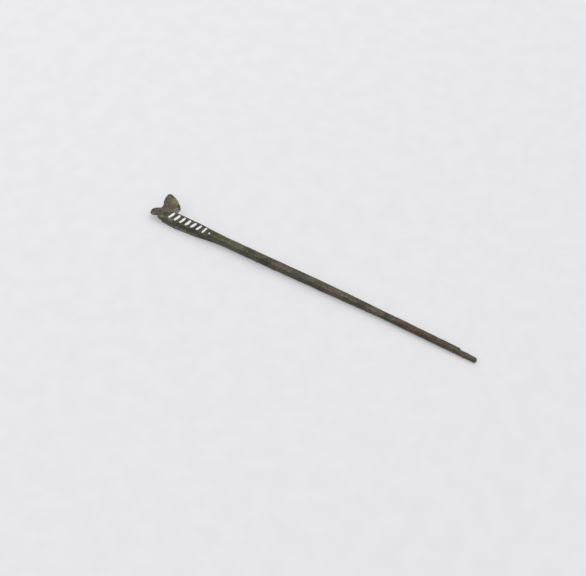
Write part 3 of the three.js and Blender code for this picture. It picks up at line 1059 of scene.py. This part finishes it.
@dataclass
class HeadPlate:
    """The head: a root let into the neck, a round hub, two petals and the stump of a third."""

    thickness: float = 1.5
    hub_radius: float = 2.15
    hub_from_end: float = 1.3
    hub_offset: float = 0.1
    web_radius: float = 1.35
    web_place: tuple[float, float] = (-1.95, 0.95)  # from the hub's middle, between the petals
    web_drop: float = 0.1
    rim_round: float = 0.3
    rim_power: float = 0.6  # below 1, the discs' rims are squarer than a half circle
    around: int = 96
    layers: int = 15
    voxel: float = 0.065
    relax: int = 5  # smoothing passes that run the petals into the hub
    decay: float = 1.15  # how much deeper than the stem's its corrosion relief is
    end_petal: Petal = field(default_factory=lambda: Petal(
        outward=Vector((-1, 0, 0)), sideways=Vector((0, -1, 0)), reach=5.5, drift=0.66, rise=-0.5,
        turn=0.3, root_half_width=1.65, full_half_width=1.68, widest_at=0.6, bluntness=5.0,
        curl=0.2, furrow=0.1, ragged=0.1, seed=SEED,
    ))
    side_petal: Petal = field(default_factory=lambda: Petal(
        outward=Vector((0, 1, 0)), sideways=Vector((-1, 0, 0)), reach=5.6, drift=2.38, rise=2.2,
        turn=0.62, root_half_width=2.2, full_half_width=3.0, widest_at=0.5, bluntness=1.65,
        curl=0.35, furrow=0.2, seed=SEED + 2,
    ))
    stump: Petal = field(default_factory=lambda: Petal(
        outward=Vector((0, -1, 0)), sideways=Vector((-1, 0, 0)), reach=2.2, drift=0.85, rise=-0.42,
        turn=0.5, root_half_width=1.7, full_half_width=1.7, widest_at=0.5, bluntness=7.0,
        curl=0.0, furrow=0.0, ragged=0.5, edge=1.1, tip=0.5, seed=SEED + 4,
    ))

    def hub(self, start: float, neck_top: float) -> Vector:
        """The hub's middle, in millimetres."""
        along = start / MM + self.hub_from_end
        return Vector((along, self.hub_offset, neck_top - self.thickness / 2))

    def disc(self, centre: Vector, radius: float) -> bpy.types.Mesh:
        """A disc of the plate's thickness, with rounded rims.

        Args:
            centre: its middle, in millimetres.
            radius: its radius, in millimetres.

        Returns:
            A mesh in metres.
        """
        angles = np.linspace(0, 2 * math.pi, self.around, endpoint=False)
        rings = []
        for turn in np.linspace(-math.pi / 2, math.pi / 2, self.layers):
            reach = radius - self.rim_round * (1 - math.cos(turn))
            level = math.copysign(abs(math.sin(turn)) ** self.rim_power, turn)
            height = np.full_like(angles, centre.z + self.thickness / 2 * level)
            x, y = centre.x + reach * np.cos(angles), centre.y + reach * np.sin(angles)
            rings.append(np.stack([x, y, height], axis=1))
        return loft("disc", np.array(rings) * MM)

    def build(self, root: bpy.types.Object, stem: Stem, weather: Weathering,
              finish: bpy.types.Material) -> bpy.types.Object:
        """Joins the root, hub, web and petals into one skin.

        Args:
            root: the part of the stem's blank that fills the rebate.
            stem: the stem, for its start and its neck's height.
            weather: the corrosion relief.
            finish: the plate's material.

        Returns:
            The finished piece.
        """
        hub = self.hub(stem.start, stem.neck_height)
        web = hub + Vector((*self.web_place, -self.web_drop))
        petals = (self.end_petal, self.side_petal, self.stump)
        meshes = [self.disc(hub, self.hub_radius), self.disc(web, self.web_radius)]
        meshes += [petal.leaf(hub, self.thickness) for petal in petals]
        parts = [new_piece("head_part", mesh) for mesh in meshes]
        with bpy.context.temp_override(active_object=root, selected_editable_objects=[root, *parts]):
            bpy.ops.object.join()
        root.name = "head_leaf_plate"
        remesh = root.modifiers.new("one_skin", "REMESH")
        remesh.mode = "VOXEL"
        remesh.voxel_size = self.voxel * MM
        relax = root.modifiers.new("relax", "SMOOTH")
        relax.iterations = self.relax
        settle(root)
        weather.apply(root, finish, self.decay)
        smooth_faces(root, 80)
        return root


@dataclass
class SolderJoint:
    """The solder film in the lap, with what was squeezed out of it."""

    proud: float = 0.1  # how far the squeezed edge stands out
    bead: tuple[float, float] = (0.04, 0.2)  # how much the squeezed edge swells down and up
    bead_depth: float = 0.4  # how far in from the edge the bead reaches
    slice: float = 0.2  # length over which the film's width is taken as even
    decay: float = 1.1
    voxel: float = 0.035

    def half_widths(self, points: np.ndarray) -> np.ndarray:
        """How far the film reaches from the pin's middle, on each point's side and at its place.

        Args:
            points: the film's points, in metres.

        Returns:
            One half width for each point.
        """
        slices = ((points[:, 0] - points[:, 0].min()) / (self.slice * MM)).astype(int)
        keys = slices * 2 + (points[:, 1] > 0)
        reach = np.abs(points[:, 1])
        halves = np.zeros(len(points))
        for key in np.unique(keys):
            halves[keys == key] = reach[keys == key].max()
        return halves

    def build(self, film: bpy.types.Object, weather: Weathering,
              finish: bpy.types.Material) -> bpy.types.Object:
        """Swells the film so that its edge shows as a lumpy line.

        Args:
            film: the part of the stem's blank that the solder fills.
            weather: the corrosion relief.
            finish: the solder.

        Returns:
            The finished piece.
        """
        film.name = "solder_line"
        remesh = film.modifiers.new("one_skin", "REMESH")
        remesh.mode = "VOXEL"
        remesh.voxel_size = self.voxel * MM
        settle(film)
        points = np.empty(len(film.data.vertices) * 3)
        film.data.vertices.foreach_get("co", points)
        points = points.reshape(-1, 3)
        half = self.half_widths(points)
        end = points[:, 0].min()
        middle = (points[:, 2].min() + points[:, 2].max()) / 2
        inside = np.minimum(half - np.abs(points[:, 1]), points[:, 0] - end)
        edge = np.clip(1 - inside / (self.bead_depth * MM), 0, 1)
        down, up = self.bead
        points[:, 2] += np.where(points[:, 2] > middle, up, -down) * MM * edge ** 2
        points[:, 1] *= 1 + self.proud * MM / half
        points[:, 0] -= self.proud * MM * (points[:, 0] < end + self.voxel * MM)
        film.data.vertices.foreach_set("co", points.ravel())
        weather.apply(film, finish, self.decay)
        smooth_faces(film)
        return film


@dataclass
class VarnishPatch:
    """A brushed film that follows the neck's top, over the plate, the seam and the stem."""

    thickness: float = 0.05
    sunk: float = 0.02  # how far its underside lies in the metal
    bead: float = 0.25  # mm over which the film thins to its edge
    bridge: float = 0.14  # half the widest seam that it fills
    ragged: float = 0.3  # how far the brush strayed at the edges
    late: float = 0.6  # how much further from the neck's end it starts than the CAD's
    least: float = 0.02  # half its width where it begins and ends
    stray_rates: Range = (9.0, 45.0)
    along: int = 220
    across: int = 36

    def build(self, under: Sequence[bpy.types.Object], stem: Stem,
              finish: bpy.types.Material) -> bpy.types.Object:
        """Lays the film on what is under it.

        Args:
            under: the pieces that carry the film.
            stem: the stem, for its taper.
            finish: not used.

        Returns:
            The finished piece.
        """
        low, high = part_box("varnish_patch")
        low.x += self.late * MM
        drop = Drop(under)
        edges = [Wander(SEED + i, self.ragged * MM, *self.stray_rates) for i in range(2)]
        rings = []
        for turn in np.linspace(0, math.pi, self.along):
            x = (low.x + high.x) / 2 - (high.x - low.x) / 2 * math.cos(turn)
            middle, half = self.outline(stem, x, low, high)
            strays = [edge.at(turn / math.pi) - edge.size / 2 for edge in edges]
            middle += (strays[0] - strays[1]) / 2
            half = max(self.least * MM, half + (strays[0] + strays[1]) / 2)
            ring = [Vector((x, middle + half * math.cos(a), math.sin(a)))
                    for a in np.linspace(0, 2 * math.pi, 2 * self.across, endpoint=False)]
            for point in ring:
                rim = min(1.0, (half - abs(point.y - middle)) / (self.bead * MM))
                rim = math.sqrt(max(0.0, rim))
                lift = self.thickness * rim if point.z > 0 else -self.sunk
                point.z = drop.height(point.x, point.y, self.bridge * MM) + lift * MM
            rings.append(ring)
        piece = new_piece("varnish_film", loft("varnish_film", np.array(rings)))
        smooth_faces(piece)
        return piece

    def outline(self, stem: Stem, x: float, low: Vector, high: Vector) -> tuple[float, float]:
        """The film's middle and half width at one place along it.

        Args:
            stem: the stem, whose taper the film follows.
            x: the place, in metres.
            low: the film's lowest corner.
            high: its highest.

        Returns:
            Both in metres.
        """
        along = (x - stem.start) / MM
        taper = min(1.0, max(0.0, (along - stem.neck_length) / stem.taper_length))
        taper = taper * taper * (3 - 2 * taper)
        narrowing = (stem.neck_width - stem.bar_at_neck) / 2 * taper * MM
        half = (high.y - low.y) / 2 - narrowing
        blunt = min(x - low.x, high.x - x) / half
        ending = math.sqrt(max(0.0, 1 - (1 - min(1.0, blunt)) ** 2))
        return stem.offset * taper * MM, max(self.least * MM, half * ending)


class Drop:
    """Finds the height of the top surface of some pieces."""

    CLEAR = 10 * MM  # how far above the pin a look down starts

    def __init__(self, pieces: Sequence[bpy.types.Object]) -> None:
        """Reads the pieces' meshes."""
        graph = bpy.context.evaluated_depsgraph_get()
        self.trees = [BVHTree.FromObject(piece, graph) for piece in pieces]

    def height(self, x: float, y: float, bridge: float = 0.0) -> float:
        """The highest surface over a place in plan.

        Args:
            x: the place, in metres.
            y: the same.
            bridge: how far along the pin a higher surface counts too, so that seams are bridged.

        Returns:
            A height in metres.
        """
        hits = []
        for step in {-bridge, 0.0, bridge}:
            above = Vector((x + step, y, CAD_BOX[1].z + self.CLEAR))
            hits += [tree.ray_cast(above, Vector((0, 0, -1)))[0] for tree in self.trees]
        return max((hit.z for hit in hits if hit), default=0.0)


@dataclass
class InkRow:
    """A row of plain pen strokes and a closing dot."""

    width: float = 0.76
    height: float = 0.1
    lean: float = 0.1
    bow: float = 0.3  # how far a stroke's middle strays, as a share of its width
    swing: float = 15.0  # degrees that a stroke may turn from the common slant
    wobble: float = 0.09  # how far the pen's edge strays
    wobble_size: float = 0.45
    row_shift: tuple[float, float] = (0.45, -0.1)
    dot_shift: tuple[float, float] = (0.47, -0.5)
    resolution: int = 28
    end_power: float = 3.5  # above 2, a stroke's ends are blunter than a circle's
    end_width: float = 1.02  # above 1, its very ends keep some width
    least: tuple[float, float, float] = (0.85, 0.82, 0.9)  # a stroke's least width, length, height
    most: tuple[float, float, float] = (1.3, 0.98, 1.1)

    def build(self, under: Sequence[bpy.types.Object],
              finish: bpy.types.Material) -> bpy.types.Object:
        """Draws the row and lays it on the varnish.

        Args:
            under: the varnish film and what it lies on.
            finish: the ink.

        Returns:
            The finished piece.
        """
        names = sorted(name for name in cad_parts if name.startswith("ink_tick_"))
        boxes = [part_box(name) for name in names]
        middles = [(low + high) / 2 for low, high in boxes]
        half = (boxes[0][1].y - boxes[0][0].y) / 2
        pitch = (middles[-1] - middles[0]) / (len(names) - 1)
        start = middles[0] + Vector((*self.row_shift, 0)) * MM
        low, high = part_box("ink_dot")
        dot = (low + high) / 2 + Vector((*self.dot_shift, 0)) * MM
        rule = ShapeRule("ink_rule", {
            "Count": len(names), "Seed": SEED, "Pitch": pitch.x, "Half Length": half,
            "Lean": self.lean * half, "Bow": self.bow * self.width * MM, "Width": self.width * MM,
            "Height": self.height * MM, "Swing": math.radians(self.swing), "Dot": high.x - low.x,
            "Wobble": self.wobble * MM, "Wobble Size": self.wobble_size * MM,
        })
        row = self.row(rule, Vector((start.x, start.y, 0)))
        ball = rule.add("GeometryNodeMeshUVSphere", {"Segments": 20, "Rings": 10, "Radius": 0.5})
        size = rule.add(COMBINE, [rule["Dot"], rule["Dot"], rule["Height"]])
        spot = rule.add("GeometryNodeTransform",
                        {"Geometry": ball, "Translation": (dot.x, dot.y, 0), "Scale": size})
        joined = rule.add("GeometryNodeJoinGeometry")
        for part in (row, spot):
            rule.tree.links.new(part.outputs[0], joined.inputs[0])
        real = rule.add("GeometryNodeRealizeInstances", [joined])
        place = rule.add("GeometryNodeInputPosition")
        scale = rule.add(MATH, [1.0, rule["Wobble Size"]], operation="DIVIDE")
        noise = rule.add(NOISE, {"Vector": place, "Scale": scale}, normalize=False)
        reach = rule.add(VECTOR_MATH, {0: noise.outputs["Color"], "Scale": rule["Wobble"]},
                         operation="SCALE")
        level = rule.add(VECTOR_MATH, [reach, (1.0, 1.0, 0.0)], operation="MULTIPLY")
        drawn = rule.add(SET_POSITION, {"Geometry": real, "Offset": level})
        piece = new_piece("ink_row", bpy.data.meshes.new("ink_row"))
        rule.apply(piece, drawn, finish)
        drop = Drop(under)
        for vertex in piece.data.vertices:
            vertex.co.z += drop.height(vertex.co.x, vertex.co.y)
        smooth_faces(piece, 180)
        return piece

    def row(self, rule: ShapeRule, start: Vector) -> bpy.types.Node:
        """The strokes: flattened tubes along a slightly bent line, one for each point of a row.

        Args:
            rule: the tree, with the row's sizes.
            start: the first stroke's place.

        Returns:
            The node that gives the strokes.
        """
        less = {key: rule.add(MATH, [rule[key], -1.0], operation="MULTIPLY")
                for key in ("Lean", "Half Length", "Swing")}
        line = rule.add("GeometryNodeCurveQuadraticBezier", {
            "Resolution": self.resolution,
            "Start": rule.add(COMBINE, [less["Lean"], less["Half Length"], 0.0]),
            "Middle": rule.add(COMBINE, [rule["Bow"], 0.0, 0.0]),
            "End": rule.add(COMBINE, [rule["Lean"], rule["Half Length"], 0.0]),
        })
        share = rule.add("GeometryNodeSplineParameter").outputs["Factor"]
        ends = rule.add(MAP_RANGE, [share, 0.0, 1.0, -1.0, 1.0])
        size = rule.add(MATH, [ends], operation="ABSOLUTE")
        past = rule.add(MATH, [size, self.end_power], operation="POWER")
        left = rule.add(MATH, [self.end_width, past], operation="SUBTRACT")
        swell = rule.add(MATH, [left], operation="SQRT")
        half = rule.add(MATH, [rule["Width"], 0.5], operation="MULTIPLY")
        tube = rule.add("GeometryNodeCurveToMesh", {
            "Curve": line,
            "Profile Curve": rule.add("GeometryNodeCurvePrimitiveCircle",
                                      {"Resolution": 16, "Radius": 1.0}),
            "Scale": rule.add(MATH, [half, swell], operation="MULTIPLY"),
            "Fill Caps": True,
        })
        flatness = rule.add(MATH, [rule["Height"], rule["Width"]], operation="DIVIDE")
        flat = rule.add(COMBINE, [1.0, 1.0, flatness])
        stroke = rule.add("GeometryNodeTransform", {"Geometry": tube, "Scale": flat})
        points = rule.add("GeometryNodeMeshLine", {
            "Count": rule["Count"], "Start Location": start,
            "Offset": rule.add(COMBINE, [rule["Pitch"], 0.0, 0.0]),
        })
        turned = rule.add("FunctionNodeRandomValue", {
            "Min": rule.add(COMBINE, [0.0, 0.0, less["Swing"]]),
            "Max": rule.add(COMBINE, [0.0, 0.0, rule["Swing"]]), "Seed": rule["Seed"],
        }, data_type="FLOAT_VECTOR")
        scaled = rule.add("FunctionNodeRandomValue",
                          {"Min": self.least, "Max": self.most, "Seed": rule["Seed"]},
                          data_type="FLOAT_VECTOR")
        return rule.add("GeometryNodeInstanceOnPoints", {
            "Points": points, "Instance": stroke, "Rotation": turned, "Scale": scaled,
        })


@dataclass
class MineralCrust:
    """Small flat grains of mineral that sit on old bronze, scattered in drifts."""

    density: float  # grains per square millimetre where they lie thickest
    radius: float = 0.07
    drift: float = 5.0  # mm across a drift
    flatness: float = 0.4
    clear_of_table: float = 0.25
    drift_limits: Range = (0.42, 0.68)  # the noise values where a drift starts and where it is full
    least: tuple[float, float, float] = (0.35, 0.35, 0.5)  # a grain's least length, width, height
    most: tuple[float, float, float] = (1.5, 1.2, 1.1)

    def build(self, name: str, under: bpy.types.Object, seed: int,
              finish: bpy.types.Material) -> bpy.types.Object:
        """Scatters the grains over a piece.

        Args:
            name: the new piece's name.
            under: the piece that carries them.
            seed: the seed of the scatter.
            finish: their material.

        Returns:
            The finished piece.
        """
        rule = ShapeRule(f"{name}_rule", {
            "Density": self.density / MM ** 2, "Radius": self.radius * MM, "Drift": self.drift * MM,
            "Flatness": self.flatness, "Seed": seed, "Clear": self.clear_of_table * MM,
        })
        place = rule.add("GeometryNodeInputPosition")
        scale = rule.add(MATH, [1.0, rule["Drift"]], operation="DIVIDE")
        noise = rule.add(NOISE, {"Vector": place, "Scale": scale})
        thick = rule.add(MAP_RANGE, [noise, *self.drift_limits, 0.0, rule["Density"]])
        height = rule.add(SEPARATE, [place]).outputs["Z"]
        clear = rule.add(MATH, [height, rule["Clear"]], operation="GREATER_THAN")
        density = rule.add(MATH, [thick, clear], operation="MULTIPLY")
        spread = rule.add("GeometryNodeDistributePointsOnFaces",
                          {"Mesh": rule["Geometry"], "Density": density, "Seed": rule["Seed"]})
        grain = rule.add("GeometryNodeMeshIcoSphere", {"Radius": rule["Radius"], "Subdivisions": 2})
        flat = rule.add(COMBINE, [1.0, 1.0, rule["Flatness"]])
        pressed = rule.add("GeometryNodeTransform", {"Geometry": grain, "Scale": flat})
        sizes = rule.add("FunctionNodeRandomValue",
                         {"Min": self.least, "Max": self.most, "Seed": rule["Seed"]},
                         data_type="FLOAT_VECTOR")
        grains = rule.add("GeometryNodeInstanceOnPoints", {
            "Points": spread.outputs["Points"], "Instance": pressed,
            "Rotation": spread.outputs["Rotation"], "Scale": sizes,
        })
        piece = new_piece(name, under.data.copy())
        rule.apply(piece, grains, finish)
        smooth_faces(piece, 180)
        return piece


@dataclass
class Studio:
    """A pale sheet as a floor, soft light from overhead, and the camera."""

    azimuth: float = 31.98  # degrees; 0 looks along +Y
    elevation: float = 48.0
    distance: float = 467.4
    aim: tuple[float, float, float] = (42.84, -3.36, 0.0)
    lens: float = 100.0
    sensor: float = 36.0
    nearest: float = 10.0
    farthest: float = 20000.0
    floor_half: float = 3000.0
    zenith: float = 0.84  # brightness of the room's white ceiling
    horizon: float = 0.2  # and of its walls
    ceiling_from: float = 0.8  # how far up a way points where the ceiling is at its brightest
    key_power: float = 1.9
    key_size: float = 700.0
    key_place: tuple[float, float, float] = (170.0, 330.0, 1050.0)

    def direction(self) -> Vector:
        """The way from the aim to the camera.

        Returns:
            A unit vector.
        """
        turn, rise = math.radians(self.azimuth), math.radians(self.elevation)
        level = Vector((math.sin(turn), -math.cos(turn), 0.0)) * math.cos(rise)
        return level + Vector((0.0, 0.0, math.sin(rise)))

    def place_camera(self) -> None:
        """Makes the camera and the scene's view settings."""
        camera = bpy.data.objects.new("camera", bpy.data.cameras.new("camera"))
        bpy.context.scene.collection.objects.link(camera)
        camera.data.lens = self.lens
        camera.data.sensor_width = self.sensor
        camera.data.clip_start = self.nearest * MM
        camera.data.clip_end = self.farthest * MM
        aim = Vector(self.aim) * MM
        camera.location = aim + self.direction() * self.distance * MM
        camera.rotation_euler = self.direction().to_track_quat("Z", "Y").to_euler()
        bpy.context.scene.camera = camera
        bpy.context.scene.view_settings.view_transform = "Standard"

    def lay_floor(self, finish: bpy.types.Material) -> None:
        """Lays the sheet.

        Args:
            finish: the sheet's material.
        """
        half = self.floor_half * MM
        corners = [(-half, -half, 0), (half, -half, 0), (half, half, 0), (-half, half, 0)]
        mesh = bpy.data.meshes.new("floor")
        mesh.from_pydata(corners, [], [(0, 1, 2, 3)])
        floor = new_piece("floor", mesh)
        floor.data.materials.append(finish)

    def light(self) -> None:
        """Hangs one large soft light over the pin, in a room with a bright ceiling and dim walls."""
        world = bpy.data.worlds.new("room")
        world.use_nodes = True
        tree = world.node_tree
        look = add_node(tree, "ShaderNodeTexCoord").outputs["Generated"]
        height = add_node(tree, SEPARATE, [look]).outputs["Z"]
        glow = add_node(tree, MAP_RANGE,
                        [height, 0.0, self.ceiling_from, self.horizon, self.zenith],
                        interpolation_type=SMOOTH)
        background = tree.nodes["Background"]
        background.inputs["Color"].default_value = (1, 1, 1, 1)
        tree.links.new(glow.outputs[0], background.inputs["Strength"])
        bpy.context.scene.world = world
        lamp = bpy.data.lights.new("softbox", "AREA")
        lamp.energy = self.key_power
        lamp.size = self.key_size * MM
        softbox = bpy.data.objects.new("softbox", lamp)
        bpy.context.scene.collection.objects.link(softbox)
        softbox.location = Vector(self.key_place) * MM
        back = softbox.location - Vector(self.aim) * MM
        softbox.rotation_euler = back.to_track_quat("Z", "Y").to_euler()

    def build(self) -> None:
        """Sets up camera, floor and light."""
        self.place_camera()
        self.lay_floor(OpalSheet("opal_acrylic_sheet_backlit").make())
        self.light()


# -------------------------------------------------------------------------------------------- main


def main() -> None:
    """Builds the pin and its studio."""
    logging.basicConfig(level=logging.INFO, format="%(name)s: %(message)s")
    stem_bronze = STEM_BRONZE.make()
    head_bronze = HEAD_BRONZE.make()
    crust_finish = CARBONATE_CRUST.make()

    studio = Studio()
    studio.build()

    lap = Lap()
    weather = Weathering()
    stem = Stem()
    bar = stem.build(lap, weather, stem_bronze)
    dress(bar, stem_bronze, "stem_bronze", "stem")

    root = stem.blank(head_bronze)
    cut(root, *lap.root(), Cut.KEEP)
    head = HeadPlate().build(root, stem, weather, head_bronze)
    dress(head, head_bronze, "head_bronze", "head_plate")

    solder_finish = SoftSolder("lead_tin_solder_dulled").make()
    film = stem.blank(solder_finish)
    cut(film, *lap.film(), Cut.KEEP)
    solder = SolderJoint().build(film, weather, solder_finish)
    dress(solder, solder_finish, "solder", "solder_joint")

    varnish_finish = IsolatingVarnish("acrylic_varnish_brushed").make()
    varnish = VarnishPatch().build([bar, head], stem, varnish_finish)
    dress(varnish, varnish_finish, "varnish", "varnish_patch")

    ink_finish = WhiteInk("titanium_white_ink_dry").make()
    ink = InkRow().build([varnish, bar, head], ink_finish)
    marks = sorted(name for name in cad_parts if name.startswith("ink_"))
    dress(ink, ink_finish, "ink", *marks)

    for name, under, density, slot in (("stem_crust", bar, 1.6, "stem_bronze"),
                                       ("head_crust", head, 3.5, "head_bronze")):
        crust = MineralCrust(density=density).build(name, under, SEED, crust_finish)
        dress(crust, crust_finish, slot)


if __name__ == "__main__":
    main()
